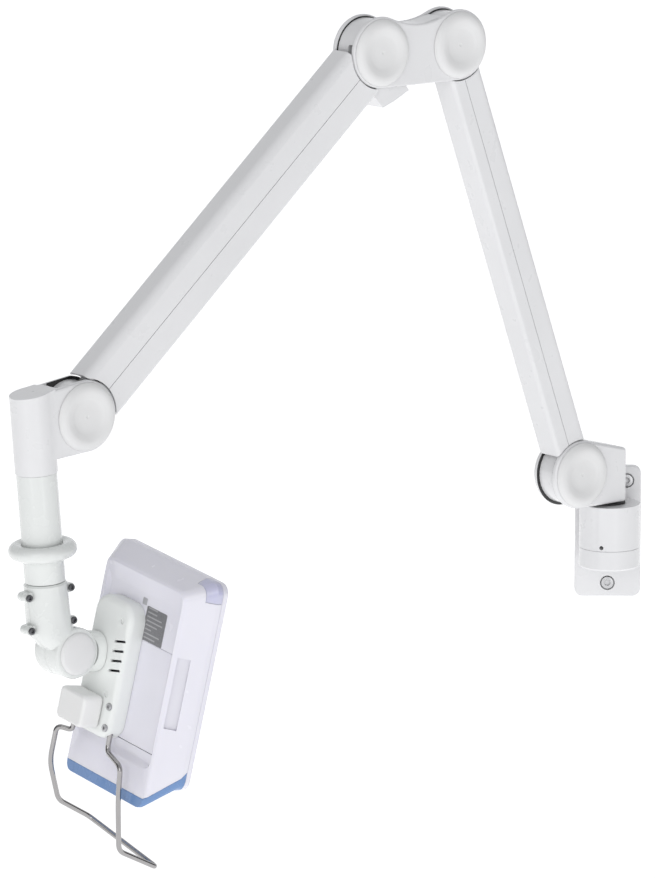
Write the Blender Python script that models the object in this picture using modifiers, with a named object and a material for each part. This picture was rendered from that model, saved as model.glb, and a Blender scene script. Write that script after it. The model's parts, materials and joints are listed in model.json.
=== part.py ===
"""Wall arm for a dental camera monitor: a two-link balanced arm with a monitor on its end.

Metres, +Z up.  The origin is the middle of the wall plate's back face: the wall is the plane
y = 0 and the arm stands out towards -Y.  The arm's own frame has X outward along the arm,
Y along the hinge axles and Z up.  The monitor's frame has X across it, Y up its long side
and Z out of its back.
"""
import bpy
import bmesh
import math
from mathutils import Matrix, Vector

MM = 0.001
GAP = 0.3 * MM

# ---------------------------------------------------------------- driving dimensions
PLATE_WIDTH = 76 * MM
PLATE_HEIGHT = 154 * MM
PLATE_THICKNESS = 12 * MM
SWIVEL_STANDOFF = 52 * MM
SWIVEL_AZIMUTH = 218.64
BARREL_RADIUS = 35 * MM
BARREL_TOP = 42 * MM
BARREL_SPLIT = -9 * MM
BARREL_BOTTOM = -32 * MM

SHOULDER_OUT = 60 * MM
SHOULDER_UP = 85 * MM
LINK_LENGTH = 540 * MM
LOWER_ARM_ANGLE = 70.08
FOREARM_ANGLE = -41.47
ELBOW_SPACING = 110.7 * MM
WRIST_LEAN = 4.76
TUBE_OUT = 57 * MM

LOBE_RADIUS = 39.5 * MM
HUB_RADIUS = 36 * MM
AXLE_RADIUS = 8 * MM
CHEEK_IN = 13.2 * MM
CHEEK_OUT = 19.5 * MM
HUB_HALF = 12.9 * MM
POCKET_FLOOR = 4.5 * MM
ROD_HALF_HEIGHT = 3.2 * MM
LOWER_ROD_PIN = (16 * MM, 139)
FOREARM_ROD_PIN = (20 * MM, 67.5)

BEAM_WIDTH = 36 * MM
BEAM_WALL = 2.5 * MM
LOWER_BEAM_HEIGHT = 45 * MM
FOREARM_BEAM_HEIGHT = 63 * MM
LOWER_BEAM_SEAM = -5 * MM
FOREARM_BEAM_SEAM = -1 * MM

TUBE_RADIUS = 22 * MM
SPIGOT_RADIUS = 14 * MM
TUBE_TOP = -52 * MM
TUBE_BOTTOM = -172 * MM
RING_RADIUS = 37 * MM
RING_HEIGHT = -137 * MM
TILT_IN_WRIST = Vector((36.9 * MM, 0, -254 * MM))
EYE_RADIUS = 28 * MM
EAR_OUT = 27.8 * MM
TONGUE_RADIUS = 20 * MM
EAR_RADIUS = 5 * MM

MONITOR_TILT = -8.8
MONITOR_TURN = -7.5
TILT_IN_MONITOR = Vector((-37.7 * MM, 2.1 * MM, 99.3 * MM))
MONITOR_WIDTH = 185 * MM
MONITOR_HEIGHT = 233 * MM
MONITOR_DEPTH = 42.5 * MM
MONITOR_WALL = 4 * MM
BACK_INSET_SIDE = 20 * MM
BACK_INSET_TOP = 16 * MM
BACK_DROP_BOTTOM = 28 * MM
RECESS = 4 * MM
HOLDER_OUT = 59 * MM
HOLDER_CENTRE = Vector((-22.5 * MM, -10 * MM, 0))
HOLDER_WIDTH = 67 * MM
HOLDER_HEIGHT = 152 * MM
WIRE_RADIUS = 2.9 * MM

# ---------------------------------------------------------------- a clean scene
for old in list(bpy.data.objects):
    bpy.data.objects.remove(old, do_unlink=True)


def new_collection(name):
    """A collection linked to the scene."""
    made = bpy.data.collections.new(name)
    bpy.context.scene.collection.children.link(made)
    return made


PARTS = new_collection("wall_arm_monitor")
CUTTERS = new_collection("cutters")

# ---------------------------------------------------------------- materials
LOOKS = {
    "arm_paint": ((0.86, 0.86, 0.85), 0.35, 0.0),
    "tube_paint": ((0.82, 0.85, 0.83), 0.3, 0.0),
    "cap_plastic": ((0.84, 0.84, 0.83), 0.45, 0.0),
    "holder_plastic": ((0.80, 0.83, 0.81), 0.4, 0.0),
    "latch_plastic": ((0.74, 0.74, 0.73), 0.45, 0.0),
    "monitor_plastic": ((0.83, 0.82, 0.90), 0.35, 0.0),
    "trim_blue": ((0.25, 0.45, 0.75), 0.35, 0.0),
    "lamp_lens": ((0.62, 0.62, 0.85), 0.1, 0.0),
    "glass_black": ((0.01, 0.01, 0.012), 0.05, 0.0),
    "board_green": ((0.03, 0.20, 0.08), 0.6, 0.0),
    "dark_polymer": ((0.03, 0.03, 0.03), 0.5, 0.0),
    "steel": ((0.55, 0.55, 0.56), 0.3, 1.0),
    "dark_steel": ((0.10, 0.10, 0.10), 0.35, 1.0),
    "chrome": ((0.85, 0.85, 0.86), 0.08, 1.0),
}


def look(name):
    """The material of that name, made on first use."""
    if name in bpy.data.materials:
        return bpy.data.materials[name]
    colour, roughness, metallic = LOOKS[name]
    made = bpy.data.materials.new(name)
    made.use_nodes = True
    shader = made.node_tree.nodes["Principled BSDF"]
    shader.inputs["Base Color"].default_value = (*colour, 1)
    shader.inputs["Roughness"].default_value = roughness
    shader.inputs["Metallic"].default_value = metallic
    return made


# ---------------------------------------------------------------- mesh tools
# Where a flat outline's (a, b, thickness) goes: thickness along X, Y or Z.
ALONG = {
    "X": Matrix(((0, 0, 1, 0), (1, 0, 0, 0), (0, 1, 0, 0), (0, 0, 0, 1))),
    "Y": Matrix(((1, 0, 0, 0), (0, 0, -1, 0), (0, 1, 0, 0), (0, 0, 0, 1))),
    "Z": Matrix.Identity(4),
}
# Where a turned piece's axis goes; "Y" points it along +Y and "-Y" along -Y.
AXIS = {
    "Z": Matrix.Identity(4),
    "-Z": Matrix.Rotation(math.pi, 4, "X"),
    "Y": Matrix.Rotation(-math.pi / 2, 4, "X"),
    "-Y": Matrix.Rotation(math.pi / 2, 4, "X"),
    "X": Matrix.Rotation(math.pi / 2, 4, "Y"),
}


def put(name, mesh, frame, material=None):
    """An object for a mesh: a part when it has a material, or else a cutter."""
    made = bpy.data.objects.new(name, mesh)
    made.parent = frame
    if material is None:
        CUTTERS.objects.link(made)
        made.hide_render = True
        made.display_type = "WIRE"
        return made
    PARTS.objects.link(made)
    mesh.materials.append(look(material))
    mesh.shade_smooth()
    mesh.set_sharp_from_angle(angle=math.radians(35))
    return made


def mesh_of(name, build, matrix):
    """A mesh from a bmesh, moved by a matrix."""
    build.transform(matrix)
    mesh = bpy.data.meshes.new(name)
    build.to_mesh(mesh)
    build.free()
    return mesh


def box(name, low, high, frame, material=None):
    """A box between two corners."""
    low, high = Vector(low), Vector(high)
    build = bmesh.new()
    bmesh.ops.create_cube(build, size=1)
    bmesh.ops.scale(build, vec=high - low, verts=build.verts)
    return put(name, mesh_of(name, build, Matrix.Translation((low + high) / 2)), frame, material)


def rod(name, radius, start, end, axis, frame, material=None, at=(0, 0, 0), sides=40):
    """A cylinder from start to end along an axis through the point at."""
    build = bmesh.new()
    bmesh.ops.create_cone(build, cap_ends=True, segments=sides, radius1=radius,
                          radius2=radius, depth=end - start)
    bmesh.ops.translate(build, vec=(0, 0, (start + end) / 2), verts=build.verts)
    matrix = Matrix.Translation(at) @ AXIS[axis]
    return put(name, mesh_of(name, build, matrix), frame, material)


def turned(name, profile, axis, frame, material=None, at=(0, 0, 0), steps=40, closed=False):
    """A turned solid: the profile runs (radius, height) down its outer side."""
    mesh = bpy.data.meshes.new(name)
    edges = [(i, i + 1) for i in range(len(profile) - 1)]
    if closed:
        edges.append((len(profile) - 1, 0))
    mesh.from_pydata([(r, 0, z) for r, z in profile], edges, [])
    made = put(name, mesh, frame, material)
    made.matrix_local = Matrix.Translation(at) @ AXIS[axis]
    screw = made.modifiers.new("turn", "SCREW")
    screw.steps = steps
    screw.render_steps = steps
    screw.use_merge_vertices = True
    screw.merge_threshold = 0.00001
    screw.use_smooth_shade = True
    return made


def arc(centre, radius, start, end, steps):
    """Points of an arc in degrees, both ends included."""
    points = []
    for i in range(steps + 1):
        a = math.radians(start + (end - start) * i / steps)
        points.append((centre[0] + radius * math.cos(a), centre[1] + radius * math.sin(a)))
    return points


def rounded(width, height, radius, steps=4, centre=(0, 0)):
    """A rectangle with round corners, as an outline."""
    points = []
    for i, (sx, sy) in enumerate(((1, 1), (-1, 1), (-1, -1), (1, -1))):
        corner = (centre[0] + sx * (width / 2 - radius), centre[1] + sy * (height / 2 - radius))
        points += arc(corner, radius, 90 * i, 90 * i + 90, steps)
    return points


def slab(name, outline, low, high, axis, frame, material=None, edge=0.0, segments=2):
    """A flat outline made thick from low to high along an axis, its rims rounded."""
    build = bmesh.new()
    lower = [build.verts.new((a, b, low)) for a, b in outline]
    upper = [build.verts.new((a, b, high)) for a, b in outline]
    build.faces.new(list(reversed(lower)))
    build.faces.new(upper)
    for i, corner in enumerate(lower):
        j = (i + 1) % len(lower)
        build.faces.new((corner, lower[j], upper[j], upper[i]))
    bmesh.ops.recalc_face_normals(build, faces=build.faces)
    matrix = ALONG[axis]
    if axis == "Y":
        matrix = matrix @ Matrix.Translation((0, 0, -low - high))
    made = put(name, mesh_of(name, build, matrix), frame, material)
    if edge:
        soften(made, edge, segments)
    return made


def loft(name, sections, frame, material=None):
    """A closed skin through outlines of equal length, each a list of points, first to last."""
    build = bmesh.new()
    loops = [[build.verts.new(point) for point in section] for section in sections]
    build.faces.new(loops[0])
    for near, far in zip(loops, loops[1:]):
        for i, here in enumerate(near):
            j = (i + 1) % len(near)
            build.faces.new((here, near[j], far[j], far[i]))
    build.faces.new(list(reversed(loops[-1])))
    bmesh.ops.recalc_face_normals(build, faces=build.faces)
    return put(name, mesh_of(name, build, Matrix.Identity(4)), frame, material)


def soften(made, width, segments=2, angle=40):
    """Round an object's sharp edges."""
    bevel = made.modifiers.new("edges", "BEVEL")
    bevel.width = width
    bevel.segments = segments
    bevel.limit_method = "ANGLE"
    bevel.angle_limit = math.radians(angle)
    return made


def combine(made, other, operation):
    """A Boolean of a part with a cutter."""
    modifier = made.modifiers.new(operation.lower(), "BOOLEAN")
    modifier.operation = operation
    modifier.solver = "EXACT"
    modifier.object = other
    return made


def cut(made, *others):
    """Take cutters out of a part."""
    for other in others:
        combine(made, other, "DIFFERENCE")
    return made


def join(made, *others):
    """Add cutters' shapes to a part."""
    for other in others:
        combine(made, other, "UNION")
    return made


def wire(name, points, radius, frame, material, resolution=2):
    """A tube through points, with closed ends."""
    curve = bpy.data.curves.new(name, "CURVE")
    curve.dimensions = "3D"
    curve.bevel_depth = radius
    curve.bevel_resolution = resolution
    curve.use_fill_caps = True
    curve.render_resolution_u = 0
    spline = curve.splines.new("POLY")
    spline.points.add(len(points) - 1)
    for point, place in zip(spline.points, points):
        point.co = (*place, 1)
    made = bpy.data.objects.new(name, curve)
    made.parent = frame
    PARTS.objects.link(made)
    curve.materials.append(look(material))
    return made


def frame_at(name, place, parent=None):
    """An empty that carries the parts of one moving body."""
    made = bpy.data.objects.new(name, None)
    made.empty_display_size = 0.05
    CUTTERS.objects.link(made)
    made.parent = parent
    made.matrix_local = place
    return made


def turn_about(axis, degrees):
    """A rotation matrix about a named axis."""
    return Matrix.Rotation(math.radians(degrees), 4, axis)


# ---------------------------------------------------------------- joint frames at rest
def link_end(angle):
    """Where a link's far hinge is, seen from its near one."""
    a = math.radians(angle)
    return Vector((LINK_LENGTH * math.cos(a), 0, LINK_LENGTH * math.sin(a)))


SHOULDER = Vector((SHOULDER_OUT, 0, SHOULDER_UP))
ELBOW_LOW = SHOULDER + link_end(LOWER_ARM_ANGLE)
ELBOW_HIGH = ELBOW_LOW + Vector((ELBOW_SPACING, 0, 0))
WRIST = ELBOW_HIGH + link_end(FOREARM_ANGLE)

ROOT = frame_at("bracket_frame", Matrix.Translation((0, -SWIVEL_STANDOFF, 0)))
SWIVEL = frame_at("swivel_frame", turn_about("Z", SWIVEL_AZIMUTH), ROOT)
LOWER = frame_at("lower_arm_frame",
                 Matrix.Translation(SHOULDER) @ turn_about("Y", -LOWER_ARM_ANGLE), SWIVEL)
ELBOW = frame_at("elbow_frame",
                 Matrix.Translation(ELBOW_LOW + Vector((ELBOW_SPACING / 2, 0, 0))), SWIVEL)
FOREARM = frame_at("forearm_frame",
                   Matrix.Translation(ELBOW_HIGH) @ turn_about("Y", -FOREARM_ANGLE), SWIVEL)
wrist_place = Matrix.Translation(WRIST) @ turn_about("Y", WRIST_LEAN)
WRIST_FRAME = frame_at("wrist_frame", wrist_place, SWIVEL)
TUBE = frame_at("tube_frame", Matrix.Translation((TUBE_OUT, 0, 0)), WRIST_FRAME)

# The monitor's X runs along the hinge axles, its Y up and its Z outward, before it is tilted.
UPRIGHT = Matrix(((0, 0, 1, 0), (1, 0, 0, 0), (0, 1, 0, 0), (0, 0, 0, 1)))
tilt_point = wrist_place @ TILT_IN_WRIST
TONGUE = frame_at("tongue_frame",
                  Matrix.Translation(tilt_point) @ turn_about("Y", MONITOR_TILT) @ UPRIGHT, SWIVEL)
MONITOR = frame_at("monitor_frame",
                   turn_about("Z", MONITOR_TURN) @ Matrix.Translation(-TILT_IN_MONITOR), TONGUE)


# ---------------------------------------------------------------- pieces used several times
def cap(name, side, frame, at):
    """A round hub cover: a soft rim round a shallow dish. side is +1 or -1 along Y."""
    outline = ((0, 1.5), (12, 1.9), (19, 3.2), (25, 5.2), (30, 5.5), (34.5, 3.8), (37, 0), (0, 0))
    seat = CHEEK_OUT + GAP
    place = Vector(at) + Vector((0, side * seat, 0))
    return turned(name, [(r * MM, z * MM) for r, z in outline], "Y" if side > 0 else "-Y",
                  frame, "cap_plastic", place, steps=30)


def axle(name, frame, at):
    """The pin that a link turns on, ending just under the caps."""
    reach = CHEEK_OUT - GAP
    return rod(name, AXLE_RADIUS - GAP, -reach, reach, "Y", frame, "steel", at, sides=32)


def socket_screw(name, head, shank, length, axis, frame, material, at, sides=20):
    """A socket-head screw with its head above the point at and its shank below."""
    head_height = head * 0.62
    key = head * 0.45
    key_depth = head_height * 0.7
    outline = [(0, head_height - key_depth), (key, head_height - key_depth), (key, head_height),
               (head, head_height), (head, 0), (shank, 0), (shank, -length), (0, -length)]
    return turned(name, outline, axis, frame, material, at, steps=sides)


# ---------------------------------------------------------------- wall bracket
def wall_bracket():
    """Plate and swivel barrel in one casting, its screws, bush and lower cap."""
    front = SWIVEL_STANDOFF - PLATE_THICKNESS
    plate = slab("wall_bracket", rounded(PLATE_WIDTH, PLATE_HEIGHT, 9 * MM, 5), front,
                 SWIVEL_STANDOFF, "Y", ROOT, "arm_paint", 2 * MM)
    barrel = rod("barrel", BARREL_RADIUS, BARREL_SPLIT + GAP, BARREL_TOP, "Z", ROOT, sides=48)
    web = box("web", (-27 * MM, 10 * MM, BARREL_SPLIT + GAP), (27 * MM, front + 2 * MM, 38 * MM),
              ROOT)
    join(plate, barrel, web)
    bore = rod("bush_bore", 13 * MM, -50 * MM, 60 * MM, "Z", ROOT)
    cut(plate, bore)
    screws = {"wall_screw_upper_left": (-21.5 * MM, 60 * MM),
              "wall_screw_upper_right": (21.5 * MM, 60 * MM),
              "wall_screw_lower": (0, -61 * MM)}
    head, shank = 7.2 * MM, 3 * MM
    for name, (x, z) in screws.items():
        seat = front + 5 * MM
        counterbore = rod(name + "_seat", 8.6 * MM, front - 2 * MM, seat, "Y", ROOT,
                          at=(x, 0, z), sides=28)
        hole = rod(name + "_hole", shank + GAP, front, SWIVEL_STANDOFF + MM, "Y", ROOT,
                   at=(x, 0, z), sides=20)
        cut(plate, counterbore, hole)
        socket_screw(name, head, shank, SWIVEL_STANDOFF - seat - 0.6 * MM, "-Y", ROOT, "steel",
                     (x, seat - GAP, z), 28)
    aim = math.radians(-108)
    reach = Vector((math.cos(aim), math.sin(aim), 0))
    place = (reach * 30 * MM) + Vector((0, 0, -4.5 * MM))
    spin = Matrix.Rotation(aim + math.pi / 2, 3, "Z")
    hole = rod("set_screw_hole", 2.5 * MM, -12 * MM, 20 * MM, "-Y", ROOT, sides=16)
    hole.matrix_local = Matrix.Translation(place) @ spin.to_4x4()
    cut(plate, hole)
    turned("barrel_cap", [(0, BARREL_BOTTOM + 3 * MM), (29 * MM, BARREL_BOTTOM + 3 * MM),
                          (29 * MM, BARREL_SPLIT), (BARREL_RADIUS, BARREL_SPLIT),
                          (BARREL_RADIUS, BARREL_BOTTOM + 2 * MM),
                          (BARREL_RADIUS - 2 * MM, BARREL_BOTTOM), (0, BARREL_BOTTOM)],
           "Z", ROOT, "arm_paint", steps=40)
    turned("swivel_bush", [(18 * MM, BARREL_TOP + 2 * MM), (18 * MM, BARREL_TOP + GAP),
                           (12.7 * MM, BARREL_TOP + GAP), (12.7 * MM, BARREL_SPLIT),
                           (10.3 * MM, BARREL_SPLIT), (10.3 * MM, BARREL_TOP + 2 * MM)],
           "Z", ROOT, "dark_polymer", steps=40, closed=True)


# ---------------------------------------------------------------- knuckles
def arm_slot(name, frame, centre, start, end, mouth):
    """The space between two cheeks: a round well for the hub, and its mouth's far corners."""
    outline = arc((0, 0), HUB_RADIUS + 2 * MM, start, end, 32) + mouth
    outline = [(centre[0] + a, centre[2] + b) for a, b in outline]
    return slab(name, outline, -CHEEK_IN, CHEEK_IN, "Y", frame)


def pin_place(pin, turned_by=0):
    """A levelling rod's pin, seen from the axle beside it, in a frame turned about Y."""
    radius, angle = pin
    a = math.radians(angle + turned_by)
    return Vector((radius * math.cos(a), 0, radius * math.sin(a)))


def pin_hole(name, frame, at):
    """The blind hole in the front cheek that a levelling rod's pin turns in."""
    return rod(name, 3.2 * MM, POCKET_FLOOR, CHEEK_IN + 3.6 * MM, "Y", frame, at=at, sides=16)


def base_yoke():
    """The knuckle on the wall bracket, with its spindle, axle and caps."""
    s = SHOULDER
    inner = -9 * MM
    slope = 14.2
    outline = arc((s.x, s.z), LOBE_RADIUS, -90, 90 + slope, 26)
    drop = math.tan(math.radians(slope))
    edge = outline[-1]
    outline.append((inner, edge[1] - (edge[0] - inner) * drop))
    outline.append((inner, s.z - LOBE_RADIUS))
    yoke = slab("base_yoke", outline, -CHEEK_OUT, CHEEK_OUT, "Y", SWIVEL, "arm_paint",
                4 * MM, 3)
    mouth = [(-5 * MM, -60 * MM), (60 * MM, -60 * MM), (60 * MM, 60 * MM), (-16 * MM, 60 * MM)]
    cut(yoke, rod("base_axle_bore", AXLE_RADIUS, -30 * MM, 30 * MM, "Y", SWIVEL, at=s, sides=32))
    cut(yoke, arm_slot("base_slot", SWIVEL, s, 115, 262, mouth))
    cut(yoke, pin_hole("base_pin_hole", SWIVEL, s + pin_place(LOWER_ROD_PIN)))
    foot = s.z - LOBE_RADIUS
    neck = 6 * MM
    cut(yoke, rod("spindle_bore", neck + GAP, foot - 5 * MM, foot + 22 * MM, "Z", SWIVEL, sides=28))
    turned("swivel_spindle", [(0, foot + 21 * MM), (neck, foot + 21 * MM), (neck, foot - 0.8 * MM),
                              (10 * MM, foot - 0.8 * MM), (10 * MM, -11 * MM),
                              (15 * MM, -11 * MM), (15 * MM, -19 * MM), (0, -19 * MM)],
           "Z", SWIVEL, "steel", steps=32)
    axle("shoulder_axle", SWIVEL, s)
    cap("base_cap_front", 1, SWIVEL, s)
    cap("base_cap_rear", -1, SWIVEL, s)


def elbow():
    """The knuckle between the links: two dog-bone covers round a core block."""
    half = ELBOW_SPACING / 2
    r = LOBE_RADIUS
    waist = 27.5 * MM
    fillet = (half ** 2 + waist ** 2 - r ** 2) / (2 * (r - waist))
    top = math.degrees(math.atan2(waist + fillet, half))
    outline = arc((half, 0), r, -90, 180 - top, 24)
    outline += arc((0, waist + fillet), fillet, -top, top - 180, 8)[1:-1]
    outline += arc((-half, 0), r, top, 270, 24)
    sides = {"elbow_front_cover": (CHEEK_IN, CHEEK_OUT), "elbow_rear_cover": (-CHEEK_OUT, -CHEEK_IN)}
    for name, (low, high) in sides.items():
        cover = slab(name, outline, low, high, "Y", ELBOW, "arm_paint", 2.4 * MM, 2)
        for x, pin in ((-half, LOWER_ROD_PIN), (half, FOREARM_ROD_PIN)):
            cut(cover, rod(name + "_bore", AXLE_RADIUS, -30 * MM, 30 * MM, "Y", ELBOW,
                           at=(x, 0, 0), sides=32))
            if low > 0:
                cut(cover, pin_hole(name + "_pin", ELBOW, Vector((x, 0, 0)) + pin_place(pin)))
    well = HUB_RADIUS + 2 * MM
    low, high = (math.degrees(math.asin(z * MM / well)) for z in (6, 33))
    crown = fillet + 0.4 * MM
    reach = math.degrees(math.asin((half - well * math.cos(math.radians(high))) / crown))
    block = (arc((half, 0), well, 180 - low, 180 - high, 10)
             + arc((0, waist + fillet), crown, reach - 90, -reach - 90, 8)[1:-1]
             + arc((-half, 0), well, high, low, 10))
    slab("elbow_core", block, -CHEEK_IN + GAP, CHEEK_IN - GAP, "Y", ELBOW, "arm_paint")
    for x, end in ((-half, "lower"), (half, "upper")):
        axle("elbow_axle_" + end, ELBOW, (x, 0, 0))
        cap("elbow_cap_front_" + end, 1, ELBOW, (x, 0, 0))
        cap("elbow_cap_rear_" + end, -1, ELBOW, (x, 0, 0))


def wrist():
    """The knuckle that carries the drop tube, with a round socket at its outer end."""
    r = LOBE_RADIUS
    x, low = TUBE_OUT, TUBE_TOP
    socket = 23 * MM
    outline = arc((0, 0), r, 262, 98, 22)
    outline += [(x, 35.5 * MM), (x, -r + 0.5 * MM)]
    housing = slab("wrist_housing", outline, -CHEEK_OUT, CHEEK_OUT, "Y", WRIST_FRAME, "arm_paint",
                   3 * MM, 2)
    post = rod("socket_post", socket, low, 60 * MM, "Z", WRIST_FRAME, at=(x, 0, 0), sides=48)
    lid = box("socket_lid", (-20 * MM, -40 * MM, 0), (80 * MM, 40 * MM, 40 * MM), WRIST_FRAME)
    lid.matrix_local = Matrix.Translation((x - 20 * MM, 0, 37.5 * MM)) @ turn_about("Y", 7)
    sweep = [(37.5 * MM, 19 * MM), (37.5 * MM, -19 * MM), (x - 3.7 * MM, -22.2 * MM),
             (x + 2 * MM, 0), (x - 3.7 * MM, 22.2 * MM)]
    join(post, slab("socket_blend", sweep, -r + 2 * MM, 55 * MM, "Z", WRIST_FRAME))
    cut(post, lid)
    join(housing, post)
    mouth = [(30 * MM, 70 * MM), (-70 * MM, 70 * MM), (-70 * MM, -70 * MM), (-5 * MM, -70 * MM)]
    cut(housing, arm_slot("wrist_slot", WRIST_FRAME, (0, 0, 0), 262, 388, mouth))
    cut(housing, rod("wrist_axle_bore", AXLE_RADIUS, -30 * MM, 30 * MM, "Y", WRIST_FRAME, sides=32))
    cut(housing, pin_hole("wrist_pin_hole", WRIST_FRAME, pin_place(FOREARM_ROD_PIN, WRIST_LEAN)))
    cut(housing, rod("socket_bore", SPIGOT_RADIUS + GAP, low - MM, -14 * MM, "Z", WRIST_FRAME,
                     at=(x, 0, 0)))
    axle("wrist_axle", WRIST_FRAME, (0, 0, 0))
    cap("wrist_cap_front", 1, WRIST_FRAME, (0, 0, 0))
    cap("wrist_cap_rear", -1, WRIST_FRAME, (0, 0, 0))


# ---------------------------------------------------------------- links
def hub(name, frame, end, with_lug=False):
    """A link's end fitting: a drum on the axle and a tongue inside the beam.

    end is 0 at the near hinge and 1 at the far one.  The pocket on its front side leaves
    room for the levelling rod, and the lug under it is the link's end stop.
    """
    x = LINK_LENGTH * end
    way = 1 - 2 * end
    outline = arc((0, 0), HUB_RADIUS, 27, 333, 34)
    outline += [(86 * MM, -14 * MM), (86 * MM, 14 * MM)]
    if with_lug:
        lug = [(-2.7 * MM, -63 * MM), (20 * MM, -57 * MM), (36 * MM, -51 * MM),
               (36 * MM, -32 * MM), (29.4 * MM, -32 * MM), (29.4 * MM, -14 * MM)]
        outline = (arc((0, 0), HUB_RADIUS, 27, 262, 28) + lug
                   + [(86 * MM, -14 * MM), (86 * MM, 14 * MM)])
    outline = [(x + way * a, b) for a, b in outline]
    made = slab(name, outline, -HUB_HALF, HUB_HALF, "Y", frame, "arm_paint")
    centre = (x, 0, 0)
    cut(made, rod(name + "_bore", AXLE_RADIUS, -30 * MM, 30 * MM, "Y", frame, at=centre, sides=32))
    pocket = arc((0, 0), HUB_RADIUS - 3.5 * MM, 71, 378, 34)
    pocket += [(100 * MM, 8.5 * MM), (100 * MM, 26 * MM)]
    pocket = [(x + way * a, b) for a, b in pocket]
    cut(made, slab(name + "_pocket", pocket, POCKET_FLOOR, 20 * MM, "Y", frame))


def beam(prefix, frame, height, seam):
    """A link's casing: an upper shell over a lower channel, meeting at a seam."""
    half = BEAM_WIDTH / 2
    wall = BEAM_WALL
    top = height / 2
    round_top = 9 * MM
    round_low = 5 * MM
    ends = (30 * MM, LINK_LENGTH - 30 * MM)

    def u_shape(high, low, radius):
        """A U that is closed at high and open at low, as an outline."""
        way = 1 if high > low else -1
        inner = max(radius - wall, MM)
        outside = [(half, low)]
        inside = [(half - wall, low)]
        for i in range(5):
            a = math.radians(22.5 * i)
            c, s = math.cos(a), math.sin(a)
            outside.append((half - radius + radius * c, high - way * radius * (1 - s)))
            inside.append((half - wall - inner + inner * c, high - way * (wall + inner * (1 - s))))
        right = outside
        left = [(-a, b) for a, b in reversed(outside)]
        back = [(-a, b) for a, b in inside] + [(a, b) for a, b in reversed(inside)]
        return right + left + back

    shapes = {"_upper_shell": u_shape(top, seam + GAP, round_top),
              "_lower_channel": u_shape(-top, seam - GAP, round_low)}
    for suffix, outline in shapes.items():
        made = slab(prefix + suffix, outline, ends[0], ends[1], "X", frame, "arm_paint")
        for x in (0, LINK_LENGTH):
            cut(made, rod(prefix + suffix + "_end", LOBE_RADIUS + 1.2 * MM, -40 * MM, 40 * MM, "Y",
                          frame, at=(x, 0, 0), sides=64))


def spring(prefix, frame, height):
    """The balance spring inside a link."""
    turns, per_turn = 9, 8
    radius, thick = 9 * MM, 1.5 * MM
    start, pitch = 190 * MM, 18 * MM
    level = -height / 2 + BEAM_WALL + radius + thick + 1.5 * MM
    side = -3.5 * MM
    points = []
    for i in range(turns * per_turn + 1):
        a = 2 * math.pi * i / per_turn
        x = start + pitch * i / per_turn
        points.append((x, side + radius * math.cos(a), level + radius * math.sin(a)))
    wire(prefix + "_balance_spring", points, thick, frame, "steel", 1)


def level_rod(name, frame, link_angle, pin):
    """The rod that keeps the next knuckle level; its pins turn in the two front cheeks."""
    near = pin_place(pin, -link_angle)
    r = ROD_HALF_HEIGHT
    outline = arc((near.x + LINK_LENGTH, near.z), r, -90, 90, 8) + arc((near.x, near.z), r, 90, 270, 8)
    made = slab(name, outline, POCKET_FLOOR + MM, 11 * MM, "Y", frame, "steel")
    for x in (near.x, near.x + LINK_LENGTH):
        join(made, rod(name + "_pin", 2.8 * MM, 8 * MM, CHEEK_IN + 3 * MM, "Y", frame,
                       at=(x, 0, near.z), sides=16))


def links():
    """Both links of the arm."""
    hub("lower_arm_base_hub", LOWER, 0)
    hub("lower_arm_elbow_hub", LOWER, 1)
    beam("lower_arm", LOWER, LOWER_BEAM_HEIGHT, LOWER_BEAM_SEAM)
    spring("lower_arm", LOWER, LOWER_BEAM_HEIGHT)
    level_rod("lower_level_rod", LOWER, LOWER_ARM_ANGLE, LOWER_ROD_PIN)
    hub("forearm_elbow_hub", FOREARM, 0, with_lug=True)
    hub("forearm_wrist_hub", FOREARM, 1)
    beam("forearm", FOREARM, FOREARM_BEAM_HEIGHT, FOREARM_BEAM_SEAM)
    spring("forearm", FOREARM, FOREARM_BEAM_HEIGHT)
    level_rod("forearm_level_rod", FOREARM, FOREARM_ANGLE, FOREARM_ROD_PIN)


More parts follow.
